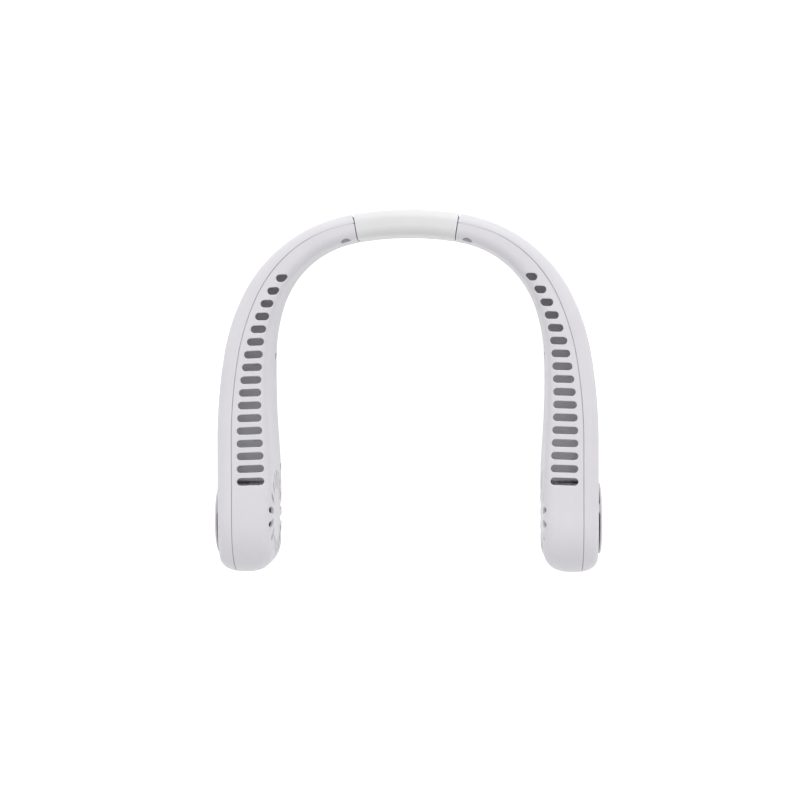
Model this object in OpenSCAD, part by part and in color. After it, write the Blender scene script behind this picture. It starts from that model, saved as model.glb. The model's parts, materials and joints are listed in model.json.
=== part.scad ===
// Electric neck fan: two hollow arms, each with a turbine in its tip, hinged on a neck band.
// Right-handed frame in millimetres, +Z towards the vented face. The fan lies on its flat
// underside, with the neck band at +Y and the tips at -Y. The left arm mirrors the right one.

/* [Overall] */
// Height of each arm, from its flat underside to its vented face
fan_h = 51; // [49:0.5:58]
// Width of each arm at its turbine
arm_w = 28.3; // [28:0.1:33]
// Height of the neck band
band_h = 27; // [26:0.5:32]
// Width of the neck band, from its outer to its inner side
band_w = 13.2; // [13:0.1:15]

/* [Plan curve] */
// Outer radius of the neck band
band_r = 168; // [155:1:180]
// Half of the neck band's turn, in degrees
band_turn = 9.3; // [9:0.1:10]
// Outer radius next to the band
neck_r = 85; // [80:1:92]
// Turn of that stretch, in degrees
neck_turn = 12.4; // [12:0.1:13]
// Outer radius of the shoulder
shoulder_r = 75; // [70:1:82]
// Turn of the shoulder, in degrees
shoulder_turn = 40.7; // [38:0.1:43]
// Outer radius below the shoulder
arm_r = 106; // [98:1:114]
// Turn of that stretch, in degrees
arm_turn = 17.8; // [16:0.1:19]
// Outer radius of the long, slow stretch
long_r = 269; // [250:1:290]
// Straight length above the turbine's axis
straight_l = 40.8; // [38:0.1:50]
// Reach of the tip beyond the turbine's axis
tip_l = 28.2; // [28:0.1:33]

/* [Shells] */
// Wall of the arms' shells
wall = 1.6; // [1.2:0.1:1.8]
// Wall of the band's sleeve
sleeve_wall = 1.2; // [1:0.1:1.4]
// Distance of the parting line from the outer edge, in the arm
part_in = 8; // [7.6:0.1:9]
// The same distance at the band
part_in_band = 5.2; // [4.8:0.1:5.6]
// Length past the hinge at which the parting line starts to move in
part_from = 18; // [10:1:24]
// Length along which it moves in
part_l = 80; // [70:1:100]
// Gap along the parting line
part_gap = 0.25; // [0.15:0.05:0.35]
// Corner radius of the arm's section
arm_corner = 6; // [5:0.1:6.5]
// Corner radius of the band's section
band_corner = 5; // [4:0.1:5.4]
// Rounding of the tip's outer corner, seen from above
tip_out_r = 9; // [8:0.5:11]
// Rounding of the tip's inner corner, seen from above
tip_in_r = 13.5; // [12:0.5:16]
// Length past the hinge at which the arm starts to widen
widen_from = 2; // [1:0.5:8]
// Length along which it widens
widen_l = 177; // [165:1:185]
// Length past the hinge at which the underside starts to drop
drop_from = 12; // [11:0.5:16]
// Length along which it drops to the flat
drop_l = 112; // [100:1:118]

/* [Vents] */
// Number of vent slots in an arm
vent_n = 17; // [12:1:17]
// Distance from one slot to the next
vent_pitch = 6.51; // [6.2:0.01:6.6]
// Height of a slot
vent_h = 4.1; // [3.6:0.1:4.4]
// Tilt of the slots, in degrees
vent_tilt = 1.9; // [0:0.1:3]
// Distance of the first slot from the turbine's axis
vent_first = 20.6; // [19.5:0.1:22]
// Land between the parting line and a slot
vent_land_out = 2.8; // [2.4:0.1:3.2]
// Land between the narrowest slots and the arm's inner side
vent_land_top = 2.1; // [1.9:0.1:3]
// The same land where the arm is widest
vent_land_in = 3.4; // [3:0.1:4.4]

/* [Intakes] */
// Number of radial slots in each outer intake
intake_n = 12; // [8:1:14]
// Radius at which the intake slots start
intake_r1 = 9.6; // [9.4:0.1:10]
// Radius at which they end
intake_r2 = 16.6; // [15:0.1:17]
// Width of an intake slot
intake_slot_w = 2.6; // [2:0.1:3]
// Number of radial slots in each inner intake
grille_n = 18; // [16:1:20]
// Radius at which the inner slots start
grille_r1 = 13.5; // [12.5:0.1:15]
// Radius at which they end, on the arm's round corners
grille_r2 = 23.4; // [21:0.1:23.6]
// Width of an inner slot
grille_slot_w = 3.2; // [2.4:0.1:3.4]
// Distance of the inner ring's centre from the turbine's axis, towards the band
grille_back = 2; // [0:0.1:2.4]
// Radius of the outer intake cover
cover_r = 18.6; // [17.5:0.1:19]
// Thickness of the cover
cover_t = 1.4; // [1.2:0.1:2]
// Gap between the cover and the arm
cover_gap = 0.8; // [0.7:0.1:1.4]
// Width of the ribs that carry the cover
cover_rib_w = 5.2; // [3:0.1:6]

/* [Turbine] */
// Outer radius of the impeller
impeller_r = 19; // [18:0.1:19.2]
// Radius at which its blades start
blade_r1 = 14; // [13.6:0.1:15]
// Number of blades
blade_n = 24; // [16:1:30]
// Thickness of a blade
blade_t = 0.8; // [0.6:0.1:1]
// Width of the impeller along its axis
impeller_w = 16; // [14:0.5:16.5]
// Outer radius of the motor's rotor cup
rotor_r = 10; // [9.8:0.1:10.3]
// Sheet of the rotor cup
rotor_t = 0.6; // [0.5:0.1:0.8]
// Thickness of the ring magnet
magnet_t = 1.2; // [1:0.1:1.4]
// Radius of the motor shaft
shaft_r = 0.75; // [0.7:0.05:0.8]
// Outer radius of the bearings
bearing_r = 2; // [1.9:0.05:2.1]
// Width of a bearing
bearing_w = 2; // [1.8:0.1:2.2]
// Outer radius of the bearing tube
tube_r = 2.8; // [2.7:0.05:2.9]
// Height of the stator core
stator_h = 6; // [5:0.1:6.2]
// Thickness of the air guide
guide_t = 1; // [0.8:0.1:1.2]

/* [Hinges] */
// Distance of the hinge pin from the outer edge
pin_in = 4; // [3.9:0.1:4.2]
// Radius of the hinge pin
pin_r = 1; // [0.9:0.05:1.1]
// Radius of the hinge knuckles
knuckle_r = 2.3; // [2.2:0.05:2.4]
// Gap between the band and the arm at the seam
seam_gap = 0.4; // [0.4:0.05:0.5]
// Relief outboard of the pin, in degrees
relief_turn = 8; // [8:0.5:10]
// Radius of the screw plugs
plug_r = 2.2; // [2.1:0.1:2.3]

/* [Electrics] */
// Radius of a battery cell
cell_r = 9.15; // [8.8:0.05:9.2]
// Length of a battery cell
cell_l = 50; // [44:0.5:50]
// Depth of the cell's axis, from the arm's outer side
cell_in = 15.1; // [15:0.1:15.4]
// Length of the control board
board_l = 62; // [61.5:0.5:63]
// Width of the control board
board_w = 16; // [15:0.5:17]
// Thickness of the control board
board_t = 1; // [0.8:0.1:1.2]
// Height of the control board above the underside
board_z = 22.4; // [22:0.1:22.6]
// Radius of the power button
button_r = 4; // [3.6:0.1:4.2]
// Travel of the power button
button_travel = 0.4; // [0.3:0.05:0.5]
// Width of the charging port's shell
usb_w = 8.9; // [8.8:0.1:9.1]
// Height of the charging port's shell
usb_h = 3.2; // [3.1:0.1:3.3]
// Depth of the charging port's shell
usb_d = 7.3; // [6.5:0.1:7.5]

/* [Hidden] */

// Sides of the round shapes
$fn = 48;
ring_sides = 96;
button_sides = 40;
flange_sides = 39;
plug_sides = 25;
cable_sides = 24;
boss_sides = 23;
vent_sides = 20;
screw_sides = 17;
slot_sides = 16;
pilot_sides = 16;

// Running and assembly clearances
fit = 0.1;
play = 0.3;
// Overrun of a cut past the face that it opens
over = 1;
run_clear = 0.03;

// The plan curve is a chain of arcs, then a straight. Headings turn from +X (0) to -Y (90).
radii = [band_r, neck_r, shoulder_r, arm_r, long_r];
long_turn = 90 - band_turn - neck_turn - shoulder_turn - arm_turn;
turns = [band_turn, neck_turn, shoulder_turn, arm_turn, long_turn];
arcs = len(turns);
function to_arc(r, turn) = r * turn * PI / 180;
function side(a) = [sin(a), cos(a)];
function head_at(i) = i == 0 ? 0 : head_at(i - 1) + turns[i - 1];
function centre0(i) =
    i == 0 ? [0, -radii[0]] : centre0(i - 1) + (radii[i - 1] - radii[i]) * side(head_at(i));
function start_at(i) = i == 0 ? 0 : start_at(i - 1) + to_arc(radii[i - 1], turns[i - 1]);
curve_l = start_at(arcs);
curve_end = centre0(arcs - 1) + [radii[arcs - 1], 0];
// The origin lies midway between the band's outer edge and the tips.
top_y = (straight_l + tip_l - curve_end[1]) / 2;
side_x = curve_end[0];
seam_s = start_at(1);
axis_s = curve_l + straight_l;
axis_y = top_y + curve_end[1] - straight_l;
axis_z = fan_h / 2;

// Heading and outer edge at a length s along the curve from the band's middle
function heading(s, i = 0) =
    i == arcs ? 90
    : s < start_at(i + 1) ? head_at(i) + (s - start_at(i)) / radii[i] * 180 / PI
    : heading(s, i + 1);
function arc_of(s, i = 0) = i == arcs || s < start_at(i + 1) ? i : arc_of(s, i + 1);
function edge(s) =
    let (i = arc_of(s))
    [0, top_y] + (i == arcs ? curve_end - [0, s - curve_l] : centre0(i) + radii[i] * side(heading(s)));
// A point of the plan at a depth n inside the outer edge
function inside(s, n) = edge(s) - n * side(heading(s));
function ease(x) = let (t = max(0, min(1, x))) t * t * (3 - 2 * t);
function mix(a, b, t) = a + (b - a) * t;
function widen(s) = ease((s - seam_s - widen_from) / widen_l);
function width(s) = mix(band_w, arm_w, widen(s));
function floor_z(s) = (fan_h - band_h) * (1 - ease((s - seam_s - drop_from) / drop_l));
function parting(s) = mix(part_in_band, part_in, ease((s - seam_s - part_from) / part_l));
function corner(s) = mix(band_corner, arm_corner, widen(s));

// The tip is a pebble: its height and both its plan corners draw in to nothing.
tip_power = 2.2;
tip_last_share = 0.997;
function past(s) = max(0, s - axis_s);
function tip_height(d, reach) = pow(max(0, 1 - pow(d / reach, tip_power)), 1 / tip_power);
function plan_round(d, reach, r) =
    let (e = d - (reach - r)) e <= 0 ? 0 : r * (1 - sqrt(max(0, 1 - pow(e / r, 2))));

// Section of the arm at s, drawn in by inset: a rectangle [n, z] with round corners
corner_steps = 5;
corner_share = 0.46;
// The cavity's corners are a little tighter than its walls ask, which keeps its edges off the outside's.
cavity_corner = 1.03;
function section(s, inset) =
    let (
        reach = tip_l - inset,
        d = min(past(s), reach * tip_last_share),
        h = tip_height(d, reach),
        n0 = inset + plan_round(d, reach, tip_out_r - inset),
        n1 = width(s) - inset - plan_round(d, reach, tip_in_r - inset),
        z0 = past(s) > 0 ? axis_z - (axis_z - inset) * h : floor_z(s) + inset,
        z1 = past(s) > 0 ? axis_z + (axis_z - inset) * h : fan_h - inset,
        r = min(corner(s) - inset * cavity_corner, (z1 - z0) * corner_share, (n1 - n0) * corner_share)
    )
    [
        for (q = [0:3], j = [0:corner_steps])
            let (
                a = 90 * q + 90 * j / corner_steps,
                cn = q == 0 || q == 3 ? n1 - r : n0 + r,
                cz = q < 2 ? z1 - r : z0 + r
            )
            [cn + r * cos(a), cz + r * sin(a)]
    ];
function ring3(s, pts) = [for (p = pts) let (q = inside(s, p[0])) [q[0], q[1], p[1]]];

// A closed sweep through rings of equal length, first ring at the low end of s
module sweep(rings) {
    m = len(rings[0]);
    n = len(rings);
    polyhedron(
        points = [for (r = rings) each r],
        faces = [
            [for (j = [m - 1:-1:0]) j],
            for (i = [0:n - 2], j = [0:m - 1]) each [
                [i * m + j, (i + 1) * m + (j + 1) % m, (i + 1) * m + j],
                [i * m + j, i * m + (j + 1) % m, (i + 1) * m + (j + 1) % m]
            ],
            [for (j = [0:m - 1]) (n - 1) * m + j]
        ],
        convexity = 10
    );
}

// Places of the rings: steps of about ring_turn in the bends, then the straight and the tip
ring_turn = 6;
straight_steps = 2;
tip_steps = 9;
bend_places = [
    for (i = [1:arcs - 1])
        let (k = ceil(turns[i] / ring_turn))
        for (j = [0:k - 1]) start_at(i) + (start_at(i + 1) - start_at(i)) * j / k
];
straight_places = [for (j = [0:straight_steps - 1]) curve_l + straight_l * j / straight_steps];
function tip_places(reach) =
    [for (j = [0:tip_steps]) axis_s + reach * (j == tip_steps ? tip_last_share : sin(90 * j / tip_steps))];
arm_start = seam_s + seam_gap / 2;
function arm_places(from, reach) =
    concat(
        [from],
        [for (s = concat(bend_places, straight_places)) if (s > arm_start + over) s],
        tip_places(reach)
    );

module arm_solid() {
    sweep([for (s = arm_places(arm_start, tip_l)) ring3(s, section(s, 0))]);
}
module arm_cavity() {
    sweep([for (s = arm_places(arm_start - over, tip_l - wall)) ring3(s, section(s, wall))]);
}
// The region outside the parting line, as a tall block over the plan curve
// Its corners lie midway between the rings, clear of theirs.
module parting_block(shift) {
    rows = concat(bend_places, straight_places);
    middles = [for (i = [1:len(rows) - 1]) (rows[i - 1] + rows[i]) / 2];
    places = concat([arm_start - 2 * over, arm_start + 2 * over], middles, [axis_s + tip_l + over]);
    linear_extrude(fan_h + 2 * over)
        polygon(concat(
            [for (s = places) inside(s, parting(s) + shift)],
            [for (i = [len(places) - 1:-1:0]) inside(places[i], -cover_gap - over)]
        ));
}

// Local frame at s: x along the arm towards the tip, y outwards, z up
module at(s) {
    p = edge(s);
    translate([p[0], p[1], 0]) rotate([0, 0, -heading(s)]) children();
}
// Local frame on an axis that goes in from the outer side: x to the tip, y up, z the depth
module going_in(s, z) {
    at(s) translate([0, 0, z]) rotate([90, 0, 0]) children();
}
module turbine() {
    going_in(axis_s, axis_z) children();
}
module tube(r1, r2, h) {
    difference() {
        cylinder(r = r2, h = h);
        translate([0, 0, -over]) cylinder(r = r1, h = h + 2 * over);
    }
}
module left() {
    mirror([1, 0, 0]) children();
}

// Relief at the hinge: a wedge outboard of the pin, so that the arm can open
hinge_p = inside(seam_s, pin_in);
relief_l = pin_in + over;
module relief_wedge() {
    translate([hinge_p[0], hinge_p[1], -over])
        rotate([0, 0, -heading(seam_s)])
            linear_extrude(fan_h + 2 * over)
                polygon([
                    [seam_gap / 2 - over, -over],
                    [seam_gap / 2 - over * tan(relief_turn), -over],
                    [seam_gap / 2 + relief_l * tan(relief_turn), relief_l],
                    [seam_gap / 2 - over, relief_l]
                ]);
}

// Vent slots: each runs between two places of equal y, found by halving
vent_steps = 24;
vent_land_power = 3;
function find_s(y, land, from, to, k) =
    k == 0 ? (from + to) / 2
    : let (s = (from + to) / 2)
      inside(s, land(s))[1] > y ? find_s(y, land, s, to, k - 1) : find_s(y, land, from, s, k - 1);
slot_outer = function (s) parting(s) + vent_land_out;
slot_inner = function (s) width(s) - mix(vent_land_top, vent_land_in, pow(widen(s), vent_land_power));
function vent_y(i) = axis_y + vent_first + i * vent_pitch;
function vent_x(y, land) = let (s = find_s(y, land, seam_s, axis_s, vent_steps)) inside(s, land(s))[0];
vent_cut_share = 0.4;
module vent_slot(i) {
    y = vent_y(i);
    x0 = vent_x(y, slot_inner) + vent_h / 2;
    x1 = vent_x(y, slot_outer) - vent_h / 2;
    rise = (x1 - x0) / 2 * tan(vent_tilt);
    deep = wall + arm_corner * vent_cut_share;
    hull() {
        for (q = [[x0, y + rise], [x1, y - rise]])
            translate([q[0], q[1], fan_h - deep]) cylinder(d = vent_h, h = deep + over, $fn = vent_sides);
    }
}
// Ring of n radial slots of width w between two radii, from depth z for a length h
module intake_ring(n, r1, r2, w, first, z, h) {
    for (i = [0:n - 1])
        rotate([0, 0, (i + first) * 360 / n])
            hull() {
                for (r = [r1 + w / 2, r2 - w / 2])
                    translate([r, 0, z]) cylinder(d = w, h = h, $fn = slot_sides);
            }
}
module outer_intake() {
    turbine() intake_ring(intake_n, intake_r1, intake_r2, intake_slot_w, 0.5, -over, wall + 2 * over);
}
// The inner slots are cut deep enough to open through the arm's round corners.
grille_deep = 4.2;
module inner_intake() {
    from = arm_w - grille_deep;
    turbine() translate([-grille_back, 0, 0])
        intake_ring(grille_n, grille_r1, grille_r2, grille_slot_w, 0, from, grille_deep + over);
}

// Motor stack: depths from the arm's outer side
motor_pad_t = 1.5;
flange_t = 1.2;
flange_r = 9;
motor_board_t = 0.8;
pad_z = arm_w - wall - motor_pad_t;
flange_z = pad_z - flange_t;
motor_board_z = flange_z - motor_board_t;
coil_over = 0.8;
stator_z1 = motor_board_z - coil_over - play;
stator_z0 = stator_z1 - stator_h;
cup_z1 = motor_board_z - 2 * play;
cup_z0 = stator_z0 - coil_over - 2 * play - rotor_t;
tube_z0 = stator_z0 - fit;
magnet_r2 = rotor_r - rotor_t;
magnet_r1 = magnet_r2 - magnet_t;
air_gap = 0.5;
stator_r = magnet_r1 - air_gap;
hub_t = 1.2;
impeller_z0 = (arm_w - impeller_w) / 2 - over;
impeller_z1 = impeller_z0 + impeller_w;
motor_screw_r = 0.8;
motor_screw_at = 7.7;
motor_screws = 3;
poles = 9;
// Turn from one motor screw to the next, less one pole pitch, so that each sits between poles
pole_skip = 360 / motor_screws - 360 / poles;
motor_head_r = 1.2;
motor_head_t = 0.8;
pilot_l = 2;

// Screws that join the shells: places as length along the arm and height
shell_screw_r = 1;
shell_head_r = 1.9;
shell_head_t = 0.9;
boss_r = 2.4;
sink_t = 1;
sink_wall = 0.8;
sink_floor = 1.3;
plug_t = 0.9;
post_in = 5.6;
tip_screw_back = 26;
tip_screw_z = 5.6;
cell_screw_gap = 10.4;
cell_screw_z = 11.2;
post_gap_tip = 3;
post_gap_band = 4.4;
cell_back = 29.6;
cell_s1 = axis_s - cell_back;
cell_s0 = cell_s1 - cell_l;
post_s = [cell_s1 + post_gap_tip, cell_s0 - post_gap_band];
cell_rise = 1.8;
cell_z = wall + cell_rise + cell_r;
shell_screws = [[axis_s - tip_screw_back, tip_screw_z], [cell_s0 - cell_screw_gap, cell_screw_z]];
module screw_sink(s) {
    translate([0, 0, width(s) - sink_t - plug_t])
        cylinder(r = plug_r, h = sink_t + plug_t + over, $fn = plug_sides);
    cylinder(r = shell_screw_r + fit, h = width(s), $fn = screw_sides);
}

// Hinge bracket: a curved block in the arm's end, about the centre of the neck stretch
bracket_l = 11.6;
bracket_gap = 0.45;
bracket_from = wall + bracket_gap;
pad_t = 1.7;
bracket_to = band_w - wall - pad_t - fit;
bracket_z0 = fan_h - band_h + bracket_from;
bracket_z1 = fan_h - bracket_from;
bracket_h = bracket_z1 - bracket_z0;
knuckle_end = 2.6;
knuckle_h = (bracket_h - 2 * knuckle_end) / 3;
bracket_screw_in = 7.2;
bracket_screw_s = seam_s + bracket_screw_in;
bracket_screw_lean = 14;
bracket_plug_r = 2.5;
seat_deep = 0.3;
bracket_seat = band_corner - plug_t - sink_t - sink_floor - seat_deep;
screw_tip_in = 2.7;
// Frame on the bracket screw's axis, which leans: its origin in the middle of the round corner
module corner_in() {
    going_in(bracket_screw_s, fan_h - band_corner)
        translate([0, 0, width(bracket_screw_s) - band_corner])
            rotate([-bracket_screw_lean, 0, 0])
                children();
}

// A rectangle with round corners, its low corner at the origin
module round_outline(w, h, r) {
    polygon([
        for (q = [0:3], j = [0:corner_steps])
            let (a = 90 * q + 90 * j / corner_steps)
            [
                (q == 0 || q == 3 ? w - r : r) + r * cos(a),
                (q < 2 ? h - r : r) + r * sin(a)
            ]
    ]);
}
// The bracket's body, curved about the centre of the neck stretch
module bracket_body() {
    c = centre0(1) + [0, top_y];
    turn = (seam_s + bracket_l - arm_start) / neck_r * 180 / PI;
    translate([c[0], c[1], bracket_z0])
        rotate([0, 0, 90 - heading(arm_start) - turn])
            rotate_extrude(angle = turn, $fn = ring_sides)
                translate([neck_r - bracket_to, 0])
                    round_outline(bracket_to - bracket_from, bracket_h, band_corner - bracket_from);
}

// Solid parts inside a shell, left standing when its cavity is cut
module bosses() {
    for (q = shell_screws)
        going_in(q[0], q[1]) {
            cylinder(r = boss_r, h = arm_w, $fn = boss_sides);
            translate([0, 0, width(q[0]) - plug_t - sink_t - sink_floor])
                cylinder(r = plug_r + sink_wall, h = arm_w, $fn = boss_sides);
        }
    corner_in() translate([0, 0, bracket_seat])
        cylinder(r = bracket_plug_r + sink_wall, h = arm_w, $fn = boss_sides);
}
module board_posts() {
    for (s = post_s)
        at(s) translate([0, -post_in, -over]) cylinder(r = boss_r, h = board_z + over, $fn = boss_sides);
}
module outer_shell() {
    color("gainsboro") difference() {
        intersection() {
            arm_solid();
            translate([0, 0, -over]) parting_block(-part_gap / 2);
        }
        difference() {
            arm_cavity();
            bosses();
            board_posts();
        }
        relief_wedge();
        outer_intake();
        for (q = shell_screws)
            going_in(q[0], q[1]) translate([0, 0, wall])
                cylinder(r = shell_screw_r + fit / 2, h = arm_w, $fn = screw_sides);
        for (s = post_s)
            at(s) translate([0, -post_in, board_z - pilot_l])
                cylinder(r = board_screw_r + fit / 2, h = pilot_l + over, $fn = screw_sides);
    }
}
module right_outer_shell() {
    color("gainsboro") difference() {
        outer_shell();
        outer_shell_cuts();
    }
}
module outer_shell_cuts() {
    // Openings of the right arm's outer side: power button, lights and charging port
    going_in(button_s, button_z)
        translate([0, 0, -over]) cylinder(r = button_r + fit, h = wall + 2 * over, $fn = button_sides);
    for (i = [0:light_n - 1])
        going_in(light_s + i * light_pitch, button_z)
            translate([0, 0, -over]) cylinder(r = light_r + fit, h = wall + 2 * over, $fn = pilot_sides);
    going_in(usb_s, usb_z) translate([0, 0, -over]) linear_extrude(wall + 2 * over) usb_outline(play);
}
module vent_shell() {
    color("gainsboro") difference() {
        arm_solid();
        translate([0, 0, -over]) parting_block(part_gap / 2);
        difference() {
            arm_cavity();
            bosses();
            turbine() translate([0, 0, pad_z]) cylinder(r = flange_r, h = arm_w, $fn = flange_sides);
        }
        for (i = [0:vent_n - 1]) vent_slot(i);
        inner_intake();
        turbine() for (i = [0:motor_screws - 1])
            rotate([0, 0, (i + 0.5) * 360 / poles + i * pole_skip])
                translate([motor_screw_at, 0, pad_z - over])
                    cylinder(r = motor_screw_r + fit / 2, h = pilot_l + over, $fn = pilot_sides);
        for (q = shell_screws) going_in(q[0], q[1]) screw_sink(q[0]);
        corner_in() {
            translate([0, 0, band_corner - sink_t - plug_t])
                cylinder(r = bracket_plug_r, h = sink_t + plug_t + over, $fn = plug_sides);
            cylinder(r = shell_screw_r + fit, h = band_corner, $fn = screw_sides);
        }
    }
}

// The cover: a thin dish on ribs that stand on the arm's outer side
cover_edge = 0.6;
cover_rib_at = 111.6;
cover_ribs = 3;
cover_rib_r1 = 12;
module intake_cover() {
    color("whitesmoke") turbine() translate([0, 0, -cover_gap - cover_t]) {
        rotate_extrude($fn = ring_sides)
            polygon([
                [0, 0],
                [cover_r - 2 * cover_edge, 0],
                [cover_r - cover_edge / 2, cover_edge / 2],
                [cover_r, 2 * cover_edge],
                [cover_r, cover_t - cover_edge / 2],
                [cover_r - cover_edge / 2, cover_t],
                [0, cover_t]
            ]);
        for (i = [0:cover_ribs - 1])
            rotate([0, 0, cover_rib_at + i * 360 / cover_ribs])
                translate([cover_rib_r1, -cover_rib_w / 2, cover_t - over / 2])
                    cube([cover_r - cover_rib_r1 - over, cover_rib_w, cover_gap + over / 2]);
    }
}

// Air guide: a volute round the impeller, and the floor of the arm's duct
volute_gap = 1.3;
volute_r0 = impeller_r + volute_gap;
volute_grow = 2.2;
volute_to = 417;
volute_over = 1.2;
volute_z0 = wall + arm_corner / 2;
volute_z1 = impeller_z1 + volute_over;
duct_z = 30.8;
// The volute starts where it meets the floor of the duct.
volute_from = 180 - asin((duct_z + guide_t / 2 - axis_z) / (volute_r0 + guide_t / 2));
guide_steps = 28;
function on_volute(i, grow) =
    let (a = mix(volute_from, volute_to, i / guide_steps))
    (volute_r0 + volute_grow * i / guide_steps + grow) * [cos(a), sin(a)];
duct_from = axis_s + (volute_r0 + guide_t / 2) * cos(volute_from);
duct_to = find_s(vent_y(vent_n - 1), slot_outer, seam_s, axis_s, vent_steps) - vent_pitch;
duct_steps = 14;
duct_end_rise = 10;
duct_end_l = 24;
function duct_at(j) = mix(duct_to, duct_from, j / duct_steps);
function duct_z_at(s) = duct_z + duct_end_rise * (1 - ease((s - duct_to) / duct_end_l));
module air_guide() {
    color("silver") {
        turbine() translate([0, 0, volute_z0])
            linear_extrude(volute_z1 - volute_z0)
                polygon(concat(
                    [for (i = [0:guide_steps]) on_volute(i, 0)],
                    [for (i = [guide_steps:-1:0]) on_volute(i, guide_t)]
                ));
        sweep([
            for (j = [0:duct_steps])
                let (
                    s = duct_at(j),
                    n0 = wall + play,
                    n1 = width(s) - wall - play,
                    z = duct_z_at(s)
                )
                ring3(s, [[n1, z + guide_t], [n0, z + guide_t], [n0, z], [n1, z]])
        ]);
    }
}

// Impeller: a hub on the rotor cup, a web, blades on both sides of it and two end rings
ring_t = 1;
ring_w = 1.4;
web_t = 1.2;
// Foot, middle and tip of a blade, and how far each is bent sideways, in blade thicknesses
blade_radii = [blade_r1, (blade_r1 + impeller_r - fit) / 2, impeller_r - fit];
blade_bend = [0, -0.5, 0.25];
function blade_side(way, order = [0:2]) =
    [for (k = order) [blade_radii[k], (blade_bend[k] + way / 2) * blade_t]];
module impeller() {
    color("lightgray") turbine() {
        translate([0, 0, cup_z0 - hub_t]) cylinder(r = rotor_r + hub_t, h = hub_t - fit / 2);
        translate([0, 0, cup_z0 - hub_t])
            tube(rotor_r + fit / 4, rotor_r + hub_t, cup_z1 - cup_z0 + hub_t);
        translate([0, 0, cup_z0 - hub_t]) tube(rotor_r + hub_t / 2, impeller_r - fit, web_t);
        for (z = [impeller_z0, impeller_z1 - ring_t])
            translate([0, 0, z]) tube(impeller_r - ring_w, impeller_r, ring_t);
        for (i = [0:blade_n - 1])
            rotate([0, 0, i * 360 / blade_n])
                translate([0, 0, impeller_z0 + ring_t / 2])
                    linear_extrude(impeller_w - ring_t)
                        polygon(concat(blade_side(-1), blade_side(1, [2:-1:0])));
    }
}
module rotor_cup() {
    color("dimgray") turbine() {
        translate([0, 0, cup_z0]) tube(shaft_r, rotor_r, rotor_t);
        translate([0, 0, cup_z0]) tube(magnet_r2, rotor_r, cup_z1 - cup_z0);
    }
}
module rotor_magnet() {
    color("darkslategray") turbine() translate([0, 0, stator_z0]) tube(magnet_r1, magnet_r2, stator_h);
}
module motor_shaft() {
    color("silver") turbine()
        translate([0, 0, cup_z0]) cylinder(r = shaft_r, h = flange_z + flange_t - cup_z0);
}
stator_yoke_r = 4.4;
pole_w = 1.4;
// One pole's share of the core's outline: its own four corners, then a point of the yoke
pole_foot = sqrt(pow(stator_yoke_r, 2) - pow(pole_w / 2, 2));
pole_corners = [
    [pole_foot, -pole_w / 2],
    [stator_r - fit, -pole_w / 2],
    [stator_r - fit, pole_w / 2],
    [pole_foot, pole_w / 2],
    stator_yoke_r * [cos(180 / poles), sin(180 / poles)]
];
function turned(q, a) = [q[0] * cos(a) - q[1] * sin(a), q[0] * sin(a) + q[1] * cos(a)];
module stator_core() {
    color("slategray") turbine() translate([0, 0, stator_z0]) linear_extrude(stator_h) difference() {
        polygon([for (i = [0:poles - 1]) each [
            for (q = pole_corners) turned(q, i * 360 / poles)
        ]]);
        circle(r = tube_r);
    }
}
module stator_coils() {
    wind = coil_over;
    color("peru") turbine()
        for (i = [0:poles - 1])
            rotate([0, 0, i * 360 / poles])
                translate([stator_yoke_r + fit, 0, 0]) difference() {
                    translate([0, -pole_w / 2 - wind / 2, stator_z0 - wind])
                        cube([stator_r - stator_yoke_r - wind, pole_w + wind, stator_h + 2 * wind]);
                    translate([-over, -pole_w / 2, stator_z0])
                        cube([stator_r, pole_w, stator_h]);
                }
}
module bearing_tube() {
    color("tan") turbine() difference() {
        union() {
            translate([0, 0, tube_z0]) cylinder(r = tube_r, h = pad_z - tube_z0);
            translate([0, 0, flange_z]) cylinder(r = flange_r, h = flange_t);
        }
        translate([0, 0, tube_z0 - over]) cylinder(r = bearing_r, h = pad_z - tube_z0 + 2 * over);
        for (i = [0:motor_screws - 1])
            rotate([0, 0, (i + 0.5) * 360 / poles + i * pole_skip])
                translate([motor_screw_at, 0, flange_z - over])
                    cylinder(r = motor_screw_r + fit, h = flange_t + 2 * over);
    }
}
module bearings() {
    color("lightsteelblue") turbine()
        for (z = [tube_z0, pad_z - bearing_w])
            translate([0, 0, z]) tube(shaft_r + run_clear, bearing_r, bearing_w);
}
module motor_board() {
    color("darkgreen") turbine() difference() {
        translate([0, 0, motor_board_z]) cylinder(r = flange_r, h = motor_board_t);
        translate([0, 0, motor_board_z - over]) cylinder(r = tube_r + fit, h = motor_board_t + 2 * over);
        for (i = [0:motor_screws - 1])
            rotate([0, 0, (i + 0.5) * 360 / poles + i * pole_skip])
                translate([motor_screw_at, 0, motor_board_z - over])
                    cylinder(r = motor_screw_r + fit, h = motor_board_t + 2 * over);
    }
}
module motor_screw_set() {
    color("silver") turbine() for (i = [0:motor_screws - 1])
        rotate([0, 0, (i + 0.5) * 360 / poles + i * pole_skip]) translate([motor_screw_at, 0, 0]) {
            translate([0, 0, motor_board_z - motor_head_t]) cylinder(r = motor_head_r, h = motor_head_t);
            translate([0, 0, motor_board_z - motor_head_t / 2])
                cylinder(
                    r = motor_screw_r,
                    h = motor_head_t / 2 + motor_board_t + flange_t + pilot_l - play
                );
        }
}

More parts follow.
